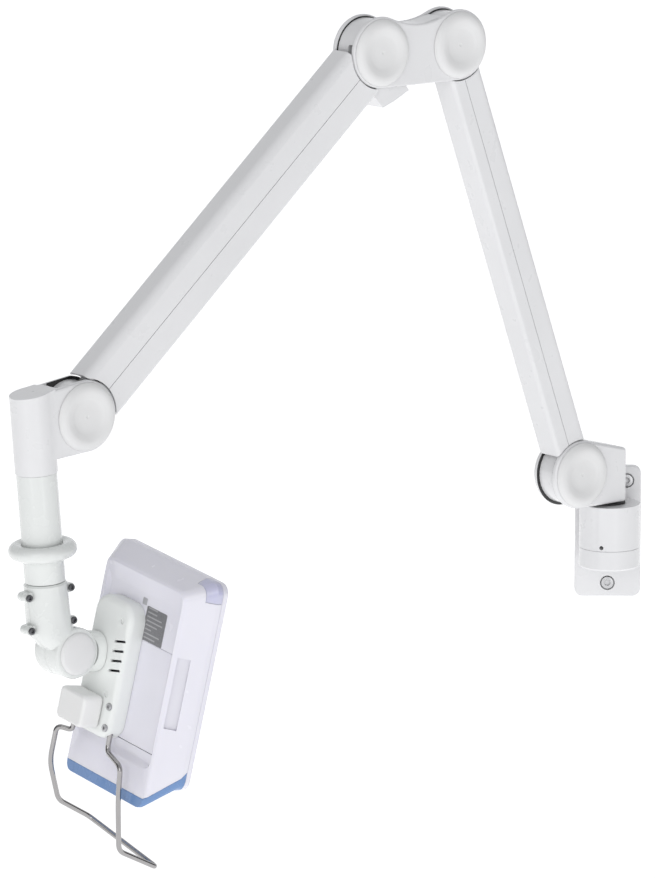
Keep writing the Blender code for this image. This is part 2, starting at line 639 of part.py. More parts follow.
# ---------------------------------------------------------------- drop tube and neck
def drop_tube():
    """The tube under the wrist, its ring handle and the clamp neck round its lower end."""
    neck_spigot = TUBE_BOTTOM - 42 * MM
    turned("drop_tube", [(0, -16 * MM), (SPIGOT_RADIUS, -16 * MM), (SPIGOT_RADIUS, TUBE_TOP - GAP),
                         (TUBE_RADIUS, TUBE_TOP - GAP), (TUBE_RADIUS, TUBE_BOTTOM),
                         (SPIGOT_RADIUS, TUBE_BOTTOM), (SPIGOT_RADIUS, neck_spigot),
                         (0, neck_spigot)],
           "Z", TUBE, "tube_paint", steps=48)
    minor = 8.4 * MM
    major = RING_RADIUS - minor
    bulge = [(r, RING_HEIGHT + z) for r, z in arc((major, 0), minor, 115, -115, 9)]
    inner = TUBE_RADIUS + GAP
    profile = [(inner, bulge[0][1])] + bulge + [(inner, bulge[-1][1])]
    turned("ring_handle", profile, "Z", TUBE, "tube_paint", steps=40, closed=True)

    tilt = Vector((TILT_IN_WRIST.x - TUBE_OUT, 0, TILT_IN_WRIST.z))
    top = TUBE_BOTTOM - 0.6 * MM
    half = 21.5 * MM
    ears = [(x, z) for x in (-EAR_OUT, EAR_OUT) for z in (-184 * MM, -220.5 * MM)]
    for side, name in ((1, "neck_front_half"), (-1, "neck_rear_half")):
        made = loft(name, neck_sections(top, tilt), TUBE, "tube_paint")
        eye = [(0, half), (EYE_RADIUS - 4 * MM, half), (EYE_RADIUS - 1.2 * MM, half - 1.2 * MM),
               (EYE_RADIUS, half - 4 * MM)]
        eye += [(r, -z) for r, z in reversed(eye)]
        join(made, turned(name + "_eye", eye, "Y", TUBE, None, tilt, 44))
        reach = sorted((-side * 2 * MM, side * 7 * MM))
        for z in (ears[0][1], ears[1][1]):
            bar = (arc((EAR_OUT, z), EAR_RADIUS, -90, 90, 8)
                   + arc((-EAR_OUT, z), EAR_RADIUS, 90, 270, 8))
            join(made, slab(name + "_ears", bar, reach[0], reach[1], "Y", TUBE))
        face = sorted((side * GAP / 2, -side * 40 * MM))
        cut(made, box(name + "_face", (-80 * MM, face[0], -320 * MM), (80 * MM, face[1], -150 * MM),
                      TUBE))
        for x, z in ears:
            cut(made, rod(name + "_screw_hole", 2.3 * MM, -30 * MM, 30 * MM, "Y", TUBE,
                          at=(x, 0, z), sides=14))
        cut(made, rod(name + "_spigot_bore", SPIGOT_RADIUS + GAP, neck_spigot - 2 * MM, top + MM,
                      "Z", TUBE))
        way = arc((tilt.x, tilt.z), TONGUE_RADIUS + MM, -60, 75, 14)
        way += [(tilt.x - 50 * MM, tilt.z + 26 * MM), (tilt.x - 50 * MM, tilt.z - 40 * MM),
                (tilt.x + 10 * MM, tilt.z - 40 * MM)]
        cut(made, slab(name + "_tongue_way", way, -6.4 * MM, 6.4 * MM, "Y", TUBE))
        cut(made, rod(name + "_axle_bore", 5.3 * MM, -30 * MM, 30 * MM, "Y", TUBE, at=tilt,
                      sides=24))
    for i, (x, z) in enumerate(ears):
        socket_screw(f"neck_screw_{i + 1}", 3.8 * MM, 2 * MM, 13.5 * MM, "Y", TUBE, "dark_steel",
                     (x, 7 * MM + GAP, z), 18)
    rod("tilt_axle", 5 * MM, -half, half, "Y", TUBE, "steel", tilt, 24)
    for side, name in ((1, "tilt_cap_front"), (-1, "tilt_cap_rear")):
        outline = ((0, 4.2), (10, 4.0), (18, 3.2), (21.5, 2.0), (23, 0), (0, 0))
        turned(name, [(r * MM, z * MM) for r, z in outline], "Y" if side > 0 else "-Y", TUBE,
               "cap_plastic", tilt + Vector((0, side * (half + GAP), 0)), steps=32)


def neck_sections(top, tilt):
    """The neck's outlines going down: round below the tube, squarer where it meets the eye."""
    sections = []
    for drop, lean, half_x, half_y, corner in ((0, 0, 21.6, 21.6, 21.3), (2, 0, 23.4, 23.4, 23),
                                               (24, 0, 23.4, 22.8, 21), (50, 0.02, 23.2, 21.8, 18),
                                               (61, 0.3, 22.6, 21, 15), (71, 0.66, 22, 20.5, 13),
                                               (84, 1, 19, 19.5, 10)):
        flat = rounded(2 * half_x * MM, 2 * half_y * MM, corner * MM, 5, (tilt.x * lean, 0))
        sections.append([(a, b, top - drop * MM) for a, b in flat])
    return sections


# ---------------------------------------------------------------- tilt tongue
def tilt_tongue():
    """The tongue between the neck halves, with the saddle that meets the holder's face."""
    reach = TILT_IN_MONITOR.z - HOLDER_OUT - 0.6 * MM
    tongue = rod("tilt_tongue", TONGUE_RADIUS, -6 * MM, 6 * MM, "X", TONGUE, "holder_plastic")
    bar = box("tongue_bar", (-6 * MM, -12 * MM, -reach + MM), (6 * MM, 12 * MM, -4 * MM), TONGUE)
    saddle = slab("saddle", rounded(40 * MM, 44 * MM, 18 * MM, 5), -reach, -14 * MM, "Z", TONGUE)
    hollow = rod("saddle_hollow", EYE_RADIUS + 1.2 * MM, -40 * MM, 40 * MM, "X", TONGUE, sides=64)
    cut(saddle, hollow)
    join(tongue, bar, saddle)
    cut(tongue, rod("tongue_bore", 5.3 * MM, -20 * MM, 20 * MM, "X", TONGUE, sides=24))


# ---------------------------------------------------------------- holder
def holder():
    """The housing on the monitor's back, its screws, clamp block and wire bail."""
    c = HOLDER_CENTRE
    back = MONITOR_DEPTH - RECESS + GAP
    wall = 3 * MM
    soft = 7 * MM

    def ring(inset, height):
        """The holder's outline moved in by inset, at a height."""
        flat = rounded(HOLDER_WIDTH - 2 * inset, HOLDER_HEIGHT - 2 * inset, 20 * MM - inset, 6, c)
        return [(a, b, height) for a, b in flat]

    rounds = [(soft * (1 - math.cos(math.radians(a))), soft * math.sin(math.radians(a)))
              for a in (0, 30, 60, 90)]
    inside = [ring(wall + 4 * MM, HOLDER_OUT - wall), ring(wall, HOLDER_OUT - soft),
              ring(wall, back)]
    outside = [ring(inset, HOLDER_OUT - soft + rise) for inset, rise in rounds]
    shell = loft("holder_shell", inside + [ring(0, back)] + outside, MONITOR, "holder_plastic")
    for i in range(4):
        slit = box(f"vent_{i}", (-9 * MM, -1.3 * MM, -8 * MM), (9 * MM, 1.3 * MM, 8 * MM), MONITOR)
        slit.matrix_local = (Matrix.Translation((-1 * MM, (24 - 10.9 * i) * MM, HOLDER_OUT))
                             @ turn_about("Z", 14))
        cut(shell, slit)
    for name, x, y in (("upper", -3 * MM, 46.4 * MM), ("lower", -5.8 * MM, -36.8 * MM)):
        cut(shell, rod("well_" + name, 3.6 * MM, HOLDER_OUT - 1.8 * MM, 90 * MM, "Z", MONITOR,
                       at=(x, y, 0), sides=20))

    low, high = (-52 * MM, -76 * MM), (-6 * MM, -40 * MM)
    middle = ((low[0] + high[0]) / 2, (low[1] + high[1]) / 2)
    block = slab("bail_clamp_block", rounded(high[0] - low[0], high[1] - low[1], 6 * MM, 4, middle),
                 HOLDER_OUT + GAP, 86 * MM, "Z", MONITOR, "latch_plastic", 4 * MM, 3)
    for i, y in enumerate((-48 * MM, -72 * MM)):
        x, seat = 3.4 * MM, HOLDER_OUT - 1.4 * MM
        cut(shell, rod(f"screw_seat_{i}", 4.4 * MM, seat, 90 * MM, "Z", MONITOR, at=(x, y, 0),
                       sides=20))
        cut(shell, rod(f"screw_hole_{i}", 2.3 * MM, 40 * MM, 90 * MM, "Z", MONITOR, at=(x, y, 0),
                       sides=16))
        socket_screw(f"holder_screw_{i + 1}", 4 * MM, 2 * MM, 10 * MM, "Z", MONITOR, "steel",
                     (x, y, seat + GAP), 20)

    route = bail_route()
    wire("wire_bail", route, WIRE_RADIUS, MONITOR, "chrome")
    left, right = route[0], route[-1]
    hole = WIRE_RADIUS + GAP
    cut(block, rod("bail_hole_left", hole, -120 * MM, left[1] + MM, "Y", MONITOR,
                   at=(left[0], 0, left[2]), sides=16))
    cut(shell, rod("bail_hole_right", hole, -120 * MM, right[1] + MM, "Y", MONITOR,
                   at=(right[0], 0, right[2]), sides=16))


def bail_route():
    """The wire's centre line: hand-set corner points, each rounded by an arc-like blend."""
    corners = [((-27, -64, 78), 0), ((-27, -84, 78), 5), ((-42, -84, 88), 7),
               ((-42, -124, 88), 12), ((-42, -168, 66), 8), ((-42, -187, 20), 6),
               ((43, -217, -18), 6), ((43, -198, 38), 8), ((43, -140, 53), 12),
               ((43, -103, 59), 8), ((4, -98, 50), 8), ((4, -76, 50), 0)]
    points = []
    for i, (corner, radius) in enumerate(corners):
        here = Vector(corner) * MM
        if radius == 0:
            points.append(here)
            continue
        before = (Vector(corners[i - 1][0]) * MM - here).normalized() * radius * MM
        after = (Vector(corners[i + 1][0]) * MM - here).normalized() * radius * MM
        for k in range(6):
            t = k / 5
            points.append(here + before * (1 - t) ** 2 + after * t ** 2)
    return [tuple(p) for p in points]


# ---------------------------------------------------------------- monitor
def monitor_section(inset, depth, corner):
    """One rounded outline of the monitor's casing at a depth, walls moved in by inset."""
    full = MONITOR_DEPTH - 14 * MM
    t = max(0.0, (depth - 14 * MM) / full)
    side = MONITOR_WIDTH / 2 - BACK_INSET_SIDE * t - inset
    top = MONITOR_HEIGHT / 2 - BACK_INSET_TOP * t - inset
    low = -MONITOR_HEIGHT / 2 - BACK_DROP_BOTTOM * t + inset
    outline = rounded(2 * side, top - low, corner, 4, (0, (top + low) / 2))
    return [(a, b, depth) for a, b in outline]


def monitor_casing(name, material=None):
    """The casing's walls and back, open at the front: a loft, because its sections differ."""
    wall, deep = MONITOR_WALL, MONITOR_DEPTH
    front = 7.3 * MM
    sections = [monitor_section(wall, deep - 8 * MM, 8 * MM), monitor_section(wall, 14 * MM, 9 * MM),
                monitor_section(wall, front, 9 * MM), monitor_section(0, front, 13 * MM),
                monitor_section(0, 14 * MM, 13 * MM),
                monitor_section(0.4 * MM, deep - 3 * MM, 11 * MM),
                monitor_section(2.6 * MM, deep, 9 * MM)]
    return loft(name, sections, MONITOR, material)


def trim_side(name, offset):
    """The wedge of space below the trim line, moved by an offset across that line."""
    back_line, front_line = -130 * MM, -85 * MM
    slope = math.atan2(front_line - back_line, MONITOR_DEPTH)
    wedge = box(name, (-150 * MM, -100 * MM, -100 * MM), (150 * MM, 0, 100 * MM), MONITOR)
    wedge.matrix_local = (Matrix.Translation((0, front_line + offset, 0))
                          @ Matrix.Rotation(slope, 4, "X"))
    return wedge


def monitor():
    """The display unit: casing, blue trim, lamp, hatch, frame, glass and what is inside."""
    w, h, deep = MONITOR_WIDTH, MONITOR_HEIGHT, MONITOR_DEPTH
    shell = monitor_casing("monitor_rear_shell", "monitor_plastic")
    trim = monitor_casing("monitor_bottom_trim", "trim_blue")
    cut(shell, trim_side("above_trim", GAP / 2))
    combine(trim, trim_side("below_trim", -GAP / 2), "INTERSECT")
    lamp = monitor_casing("corner_lamp", "lamp_lens")
    corner = (66 * MM, 95 * MM)
    cut(shell, box("lamp_space", (corner[0], corner[1], 0), (120 * MM, 140 * MM, 24 * MM), MONITOR))
    combine(lamp, box("lamp_keep", (corner[0] + GAP, corner[1] + GAP, 0),
                      (120 * MM, 140 * MM, 24 * MM - GAP), MONITOR), "INTERSECT")
    floor = deep - RECESS
    flat = rounded(129 * MM, 172 * MM, 6 * MM, 3, (4.5 * MM, -6 * MM))
    wide = rounded(137 * MM, 202 * MM, 10 * MM, 3, (2.5 * MM, 1 * MM))
    recess = loft("back_recess", [[(a, b, floor) for a, b in flat],
                                  [(a, b, deep + MM) for a, b in wide]], MONITOR)
    left, low, right, high = -6 * MM, -82 * MM, 66 * MM, 31 * MM
    hole = box("hatch_opening", (left, low, floor - 12 * MM), (right, high, deep + 10 * MM),
               MONITOR)
    cut(shell, recess, hole)
    hatch = box("battery_hatch", (left + 0.4 * MM, low + 0.4 * MM, floor - 3 * MM),
                (right - 0.4 * MM, high - 0.4 * MM, floor), MONITOR, "monitor_plastic")
    soften(hatch, 0.6 * MM, 1)
    lean = math.atan2(BACK_INSET_SIDE, deep - 14 * MM)
    grip = box("finger_slot", (-7 * MM, -39.5 * MM, -3 * MM), (7 * MM, 39.5 * MM, 5 * MM), MONITOR)
    part = 0.64
    grip.matrix_local = (Matrix.Translation((w / 2 - BACK_INSET_SIDE * part, -9.5 * MM,
                                             14 * MM + (deep - 14 * MM) * part))
                         @ Matrix.Rotation(math.pi / 2 - lean, 4, "Y"))
    cut(shell, grip)

    frame = slab("monitor_front_frame", rounded(w, h, 13 * MM, 4), 0, 7 * MM, "Z", MONITOR,
                 "monitor_plastic", 1.5 * MM, 2)
    cut(frame, slab("screen_opening", rounded(136 * MM, 180 * MM, 3 * MM, 2, (0, 8 * MM)),
                    -5 * MM, 12 * MM, "Z", MONITOR))
    slab("lcd_screen", rounded(135 * MM, 179 * MM, 2.6 * MM, 2, (0, 8 * MM)), 0.8 * MM, 9 * MM,
         "Z", MONITOR, "glass_black")
    box("main_board", (-62 * MM, -84 * MM, 13 * MM), (62 * MM, 84 * MM, 14.8 * MM), MONITOR,
        "board_green")


wall_bracket()
base_yoke()
elbow()
wrist()
links()
drop_tube()
tilt_tongue()
holder()
monitor()
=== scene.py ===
"""Looks for the wall arm with a small display on its end.

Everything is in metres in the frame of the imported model: the wall is the plane y = 0 and the
arm stands out towards -Y.  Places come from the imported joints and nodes.  The display's own
frame has X across it, Y up its long side and Z out of its back.
"""

import json
import math

import bmesh
import bpy
from mathutils import Matrix, Vector

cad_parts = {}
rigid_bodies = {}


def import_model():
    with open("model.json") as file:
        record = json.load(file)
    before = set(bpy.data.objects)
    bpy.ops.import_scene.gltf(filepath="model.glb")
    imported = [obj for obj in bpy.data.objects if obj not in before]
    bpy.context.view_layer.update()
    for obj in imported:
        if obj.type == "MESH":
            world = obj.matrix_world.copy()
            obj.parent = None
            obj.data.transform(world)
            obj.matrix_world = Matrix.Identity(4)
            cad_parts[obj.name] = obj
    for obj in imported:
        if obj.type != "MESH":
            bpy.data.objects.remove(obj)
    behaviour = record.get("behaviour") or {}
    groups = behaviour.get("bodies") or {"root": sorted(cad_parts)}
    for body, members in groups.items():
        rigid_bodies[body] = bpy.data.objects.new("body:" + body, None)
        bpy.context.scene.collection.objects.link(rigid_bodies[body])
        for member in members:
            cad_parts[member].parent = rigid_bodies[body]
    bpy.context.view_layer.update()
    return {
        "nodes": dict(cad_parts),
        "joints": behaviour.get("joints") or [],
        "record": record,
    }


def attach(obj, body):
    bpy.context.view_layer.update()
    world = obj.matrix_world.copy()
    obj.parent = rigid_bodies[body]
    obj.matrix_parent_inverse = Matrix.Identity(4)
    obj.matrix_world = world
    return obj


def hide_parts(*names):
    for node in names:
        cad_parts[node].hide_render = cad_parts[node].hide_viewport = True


MM = 0.001

for old in list(bpy.data.objects):
    bpy.data.objects.remove(old, do_unlink=True)

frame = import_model()
NODES = frame["nodes"]
JOINTS = {joint["name"]: joint for joint in frame["joints"]}
SLOT_OF = {part["node"]: part["material_slot"] for part in frame["record"]["subparts"]}
BODY_OF = {}
for body, members in frame["record"]["behaviour"]["bodies"].items():
    for member in members:
        BODY_OF[member] = body


def joint_place(name):
    """A point on a joint's axis."""
    return Vector(JOINTS[name]["pos_m"])


# ---------------------------------------------------------------- the frames of the object
UP = Vector((0, 0, 1))
HINGE = Vector(JOINTS["display_tilt"]["axis"]).normalized()
OUTWARD = HINGE.cross(UP)
TUBE_AXIS = Vector(JOINTS["drop_tube_swivel"]["axis"]).normalized()

DISPLAY_LEAN = -8.8
DISPLAY_TURN = -7.5
TILT_IN_DISPLAY = Vector((-37.7, 2.1, 99.3)) * MM
RECESS_FLOOR = 38.5 * MM
SLOT_HALF = 13.4 * MM
WELL_RADIUS = 38.4 * MM


def placed(origin, x, y, z):
    """A matrix from an origin and three axes."""
    turn = Matrix((x, y, z)).transposed().to_4x4()
    return Matrix.Translation(origin) @ turn


lean = Matrix.Rotation(math.radians(DISPLAY_LEAN), 3, HINGE)
back = (lean @ OUTWARD).normalized()
rise = back.cross(HINGE).normalized()
DISPLAY = (placed(joint_place("display_tilt"), HINGE, rise, back)
           @ Matrix.Rotation(math.radians(DISPLAY_TURN), 4, "Z")
           @ Matrix.Translation(-TILT_IN_DISPLAY))
DISPLAY_OUT = DISPLAY.to_3x3() @ Vector((0, 0, 1))


# ---------------------------------------------------------------- node material tools
class Shade:
    """A node material being built, with short calls for the nodes that are used here."""

    def __init__(self, name):
        self.material = bpy.data.materials.new(name)
        self.material.use_nodes = True
        self.nodes = self.material.node_tree.nodes
        self.links = self.material.node_tree.links
        self.shader = self.nodes["Principled BSDF"]
        self.place = self.nodes.new("ShaderNodeTexCoord").outputs["Object"]

    def feed(self, socket, value):
        """Link a socket, or set its value."""
        if isinstance(value, bpy.types.NodeSocket):
            self.links.new(value, socket)
        else:
            socket.default_value = value

    def math(self, operation, a, b=0.0):
        """One sum."""
        node = self.nodes.new("ShaderNodeMath")
        node.operation = operation
        self.feed(node.inputs[0], a)
        self.feed(node.inputs[1], b)
        return node.outputs[0]

    def dot(self, a, b):
        """How far a vector reaches along another."""
        node = self.nodes.new("ShaderNodeVectorMath")
        node.operation = "DOT_PRODUCT"
        self.feed(node.inputs[0], a)
        self.feed(node.inputs[1], b)
        return node.outputs["Value"]

    def from_point(self, point):
        """The place as seen from a point."""
        node = self.nodes.new("ShaderNodeVectorMath")
        node.operation = "SUBTRACT"
        self.feed(node.inputs[0], self.place)
        self.feed(node.inputs[1], point)
        return node.outputs[0]

    def noise(self, scale, detail=2.0, rough=0.5, stretch=None):
        """A noise over the piece's own coordinates; scale is in features per metre."""
        node = self.nodes.new("ShaderNodeTexNoise")
        node.inputs["Scale"].default_value = scale
        node.inputs["Detail"].default_value = detail
        node.inputs["Roughness"].default_value = rough
        place = self.place
        if stretch:
            mapping = self.nodes.new("ShaderNodeMapping")
            mapping.inputs["Scale"].default_value = stretch
            self.feed(mapping.inputs["Vector"], place)
            place = mapping.outputs[0]
        self.feed(node.inputs["Vector"], place)
        return node.outputs[0]

    def span(self, value, low, high, to_low, to_high):
        """A value moved from one range to another, and held inside it."""
        node = self.nodes.new("ShaderNodeMapRange")
        for socket, given in zip(node.inputs, (value, low, high, to_low, to_high)):
            self.feed(socket, given)
        return node.outputs[0]

    def mix(self, share, a, b):
        """A colour between two."""
        node = self.nodes.new("ShaderNodeMix")
        node.data_type = "RGBA"
        self.feed(node.inputs["Factor"], share)
        self.feed(node.inputs[6], a if isinstance(a, bpy.types.NodeSocket) else (*a, 1))
        self.feed(node.inputs[7], b if isinstance(b, bpy.types.NodeSocket) else (*b, 1))
        return node.outputs[2]

    def bump(self, height, strength, distance):
        """Small relief on the surface."""
        node = self.nodes.new("ShaderNodeBump")
        node.inputs["Strength"].default_value = strength
        node.inputs["Distance"].default_value = distance
        self.feed(node.inputs["Height"], height)
        self.feed(self.shader.inputs["Normal"], node.outputs[0])

    def hollow(self, reach):
        """One in the open and lower in corners and grooves."""
        node = self.nodes.new("ShaderNodeAmbientOcclusion")
        node.samples = 6
        node.inputs["Distance"].default_value = reach
        return node.outputs["AO"]


def tinted(colour, factor):
    """A colour made lighter or darker."""
    return tuple(channel * factor for channel in colour)


def coated(name, colour, rough, grain=900, relief=0.05, mottle=0.03, coat=0.0, painted_corner_shade=0.25, milky=0.0):
    """Paint or moulded plastic: slow colour drift, fine grain, uneven gloss, and painted shade that
    darkens corners and grooves.
    """
    shade = Shade(name)
    drift = shade.span(shade.noise(9, 3), 0.3, 0.7, 0, 1)
    base = shade.mix(drift, tinted(colour, 1 - mottle), tinted(colour, 1 + mottle * 0.4))
    # Painted shade: the ambient occlusion node blends the colour towards a darker copy of itself in
    # corners and grooves.
    corner = shade.span(shade.hollow(7 * MM), 0.25, 0.9, painted_corner_shade, 0)
    base = shade.mix(corner, base, tinted(colour, 0.55))
    shade.feed(shade.shader.inputs["Base Color"], base)
    patch = shade.noise(45, 3)
    shade.feed(shade.shader.inputs["Roughness"],
               shade.span(patch, 0.3, 0.7, rough * 0.88, rough * 1.15))
    shade.bump(shade.noise(grain, 2), relief, 0.25 * MM)
    if coat:
        shade.shader.inputs["Coat Weight"].default_value = coat
        shade.shader.inputs["Coat Roughness"].default_value = 0.12
    if milky:
        shade.shader.inputs["Subsurface Weight"].default_value = milky
        shade.shader.inputs["Subsurface Radius"].default_value = (0.004, 0.004, 0.005)
        shade.shader.inputs["Subsurface Scale"].default_value = 1.0
    return shade


def metal(name, colour, rough, stretch, scratch=0.25):
    """Bare metal with fine drawn lines, and painted shade that darkens it in tight corners."""
    shade = Shade(name)
    lines = shade.noise(700, 3, 0.6, stretch)
    base = shade.mix(lines, tinted(colour, 0.82), colour)
    # Painted shade: the ambient occlusion node blends the colour towards a much darker copy in tight
    # corners and grooves.
    base = shade.mix(shade.span(shade.hollow(2 * MM), 0.2, 0.9, 0.6, 0), base, tinted(colour, 0.3))
    shade.feed(shade.shader.inputs["Base Color"], base)
    shade.feed(shade.shader.inputs["Roughness"],
               shade.span(lines, 0.2, 0.8, rough * 0.7, rough * 1.4))
    shade.shader.inputs["Metallic"].default_value = 1
    shade.bump(lines, scratch, 0.05 * MM)
    return shade


ARM_WHITE = (0.80, 0.80, 0.81)
TUBE_WHITE = (0.79, 0.81, 0.795)
COVER_WHITE = (0.80, 0.80, 0.80)
HOLDER_WHITE = (0.87, 0.89, 0.875)
LATCH_GREY = (0.86, 0.86, 0.855)
DISPLAY_WHITE = (0.84, 0.83, 0.91)
TRIM_BLUE = (0.16, 0.29, 0.56)
LAMP_LILAC = (0.62, 0.62, 0.80)
# Near black painted into the hinge slots as their shadow: painted shade.
PAINTED_SLOT_SHADE = (0.012, 0.012, 0.013)

LOOKS = {
    "arm_paint": lambda: coated("arm_powder_coat", ARM_WHITE, 0.3, coat=0.6),
    "tube_paint": lambda: coated("tube_lacquer", TUBE_WHITE, 0.26, grain=700, coat=0.7),
    "cap_plastic": lambda: coated("cover_satin_moulding", COVER_WHITE, 0.42, grain=1600, relief=0.06),
    "holder_plastic": lambda: coated("holder_fine_grain", HOLDER_WHITE, 0.45, grain=2200, relief=0.10),
    "latch_plastic": lambda: coated("latch_fine_grain", LATCH_GREY, 0.5, grain=2200, relief=0.12),
    "monitor_plastic": lambda: coated("display_gloss_moulding", DISPLAY_WHITE, 0.24, grain=500,
                                      relief=0.02, coat=0.45, milky=0.15),
    "trim_blue": lambda: coated("trim_blue_moulding", TRIM_BLUE, 0.28, grain=600, coat=0.3),
    "lamp_lens": lambda: coated("lamp_milky_lens", LAMP_LILAC, 0.16, grain=300, relief=0.02,
                                coat=0.6, milky=0.5),
    "glass_black": lambda: screen_glass(),
    "board_green": lambda: circuit_board(),
    "dark_polymer": lambda: coated("bearing_polymer", (0.025, 0.025, 0.026), 0.5, grain=1500,
                                   relief=0.15, mottle=0.2),
    "steel": lambda: metal("zinc_plated_steel", (0.62, 0.62, 0.63), 0.28, (1, 1, 6)),
    "dark_steel": lambda: metal("blackened_steel", (0.16, 0.16, 0.17), 0.34, (1, 1, 1)),
    "chrome": lambda: polished_chrome(),
}


def polished_chrome():
    """Bright plated wire, which mirrors the studio's pale and dark parts."""
    return metal("polished_chrome", (0.44, 0.43, 0.43), 0.05, (1, 1, 0.05), 0.05)


def screen_glass():
    """The display's front: black glass with a faint film on it."""
    shade = Shade("screen_black_glass")
    film = shade.noise(30, 3)
    shade.feed(shade.shader.inputs["Base Color"], shade.mix(film, (0.008, 0.008, 0.011),
                                                            (0.016, 0.016, 0.02)))
    shade.feed(shade.shader.inputs["Roughness"], shade.span(film, 0.3, 0.7, 0.04, 0.1))
    shade.shader.inputs["Coat Weight"].default_value = 0.8
    shade.shader.inputs["Coat Roughness"].default_value = 0.03
    return shade


def circuit_board():
    """Green lacquer with paler tracks showing through it."""
    shade = Shade("board_green_lacquer")
    tracks = shade.nodes.new("ShaderNodeTexVoronoi")
    tracks.feature = "DISTANCE_TO_EDGE"
    tracks.inputs["Scale"].default_value = 160
    shade.feed(tracks.inputs["Vector"], shade.place)
    line = shade.span(tracks.outputs[0], 0.03, 0.07, 1, 0)
    shade.feed(shade.shader.inputs["Base Color"], shade.mix(line, (0.02, 0.13, 0.05),
                                                            (0.08, 0.26, 0.08)))
    shade.shader.inputs["Roughness"].default_value = 0.35
    shade.bump(line, 0.3, 0.1 * MM)
    return shade


MADE = {}


def look(slot):
    """The material of a slot, made on first use."""
    if slot not in MADE:
        MADE[slot] = LOOKS[slot]().material
    return MADE[slot]


def with_painted_slot_shade(name, base, centre, open_side):
    """The arm's paint, with painted shade: the walls of a hinge slot painted near black where the
    slot's shadow falls.

    open_side takes the shade, the reach outward and the height above the hinge, and gives
    one where the slot is open beyond its round well.
    """
    shade = coated(name, base, 0.3, coat=0.6)
    seen = shade.from_point(centre)
    across = shade.math("ABSOLUTE", shade.dot(seen, HINGE))
    out = shade.dot(seen, OUTWARD)
    high = shade.dot(seen, UP)
    round_part = shade.math("SQRT", shade.math("ADD", shade.math("MULTIPLY", out, out),
                                               shade.math("MULTIPLY", high, high)))
    well = shade.math("LESS_THAN", round_part, WELL_RADIUS)
    inside = shade.math("LESS_THAN", across, SLOT_HALF)
    # Painted shade: this mask covers the slot's walls, which stand in deep shadow, and they are
    # painted near black.
    mask = shade.math("MULTIPLY", inside, shade.math("MAXIMUM", well, open_side(shade, out, high)))
    before = shade.shader.inputs["Base Color"].links[0].from_socket
    shade.feed(shade.shader.inputs["Base Color"], shade.mix(mask, before, PAINTED_SLOT_SHADE))
    return shade.material


def both(shade, a, b):
    """One where a and b are both one."""
    return shade.math("MULTIPLY", a, b)


def base_opening(shade, out, high):
    """Open outward, above and below."""
    return shade.math("GREATER_THAN", out, -4 * MM)


def elbow_opening(shade, out, high):
    """The covers are separate plates, so the slot is open all round."""
    return shade.math("GREATER_THAN", out, -500 * MM)


def wrist_opening(shade, out, high):
    """Open inward and upward."""
    above = both(shade, shade.math("LESS_THAN", out, 29 * MM),
                 shade.math("GREATER_THAN", high, 2 * MM))
    return shade.math("MAXIMUM", above, shade.math("LESS_THAN", out, -6 * MM))


# ---------------------------------------------------------------- mesh tools
def finish_piece(name, mesh, body, slot, matrix=None, material=None):
    """An object for a mesh, riding on a body."""
    if matrix is not None:
        mesh.transform(matrix)
    mesh.materials.append(material or look(slot))
    made = bpy.data.objects.new(name, mesh)
    bpy.context.scene.collection.objects.link(made)
    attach(made, body)
    return made


def mesh_from(name, build, sharp=40):
    """A shaded mesh from a bmesh."""
    bmesh.ops.recalc_face_normals(build, faces=build.faces)
    mesh = bpy.data.meshes.new(name)
    build.to_mesh(mesh)
    build.free()
    mesh.shade_smooth()
    mesh.set_sharp_from_angle(angle=math.radians(sharp))
    return mesh


def smooth_line(points, per_span=6):
    """A soft curve through points of any number of coordinates."""
    points = [Vector(p) for p in points]
    line = []
    for i in range(len(points) - 1):
        before = points[max(i - 1, 0)]
        here, after = points[i], points[i + 1]
        beyond = points[min(i + 2, len(points) - 1)]
        for k in range(per_span):
            t = k / per_span
            line.append(0.5 * ((2 * here) + (after - before) * t
                               + (2 * before - 5 * here + 4 * after - beyond) * t * t
                               + (3 * here - before - 3 * after + beyond) * t ** 3))
    line.append(points[-1])
    return line


def turned(name, profile, steps=96, closed=False):
    """A turned mesh: the profile runs (radius, height) in mm; a radius of 0 is a point."""
    build = bmesh.new()
    rings = []
    for radius, height in profile:
        if radius < 1e-6:
            rings.append([build.verts.new((0, 0, height * MM))])
            continue
        ring = []
        for i in range(steps):
            a = 2 * math.pi * i / steps
            ring.append(build.verts.new((radius * MM * math.cos(a), radius * MM * math.sin(a),
                                         height * MM)))
        rings.append(ring)
    pairs = list(zip(rings, rings[1:]))
    if closed:
        pairs.append((rings[-1], rings[0]))
    for near, far in pairs:
        for i in range(steps):
            j = (i + 1) % steps
            corners = [near[i % len(near)], near[j % len(near)], far[j % len(far)],
                       far[i % len(far)]]
            corners = list(dict.fromkeys(corners))
            if len(corners) > 2:
                build.faces.new(corners)
    return mesh_from(name, build)


def tube(name, points, radius, sides=20):
    """A round wire through points, closed at both ends."""
    build = bmesh.new()
    side = Vector((0.3, 0.2, 1)).normalized()
    rings = []
    for i, here in enumerate(points):
        ahead = (points[min(i + 1, len(points) - 1)] - points[max(i - 1, 0)]).normalized()
        side = (side - ahead * side.dot(ahead)).normalized()
        other = ahead.cross(side)
        ring = []
        for k in range(sides):
            a = 2 * math.pi * k / sides
            ring.append(build.verts.new(here + (side * math.cos(a) + other * math.sin(a)) * radius))
        rings.append(ring)
    for near, far in zip(rings, rings[1:]):
        for i in range(sides):
            j = (i + 1) % sides
            build.faces.new((near[i], near[j], far[j], far[i]))
    build.faces.new(rings[0])
    build.faces.new(list(reversed(rings[-1])))
    return mesh_from(name, build)


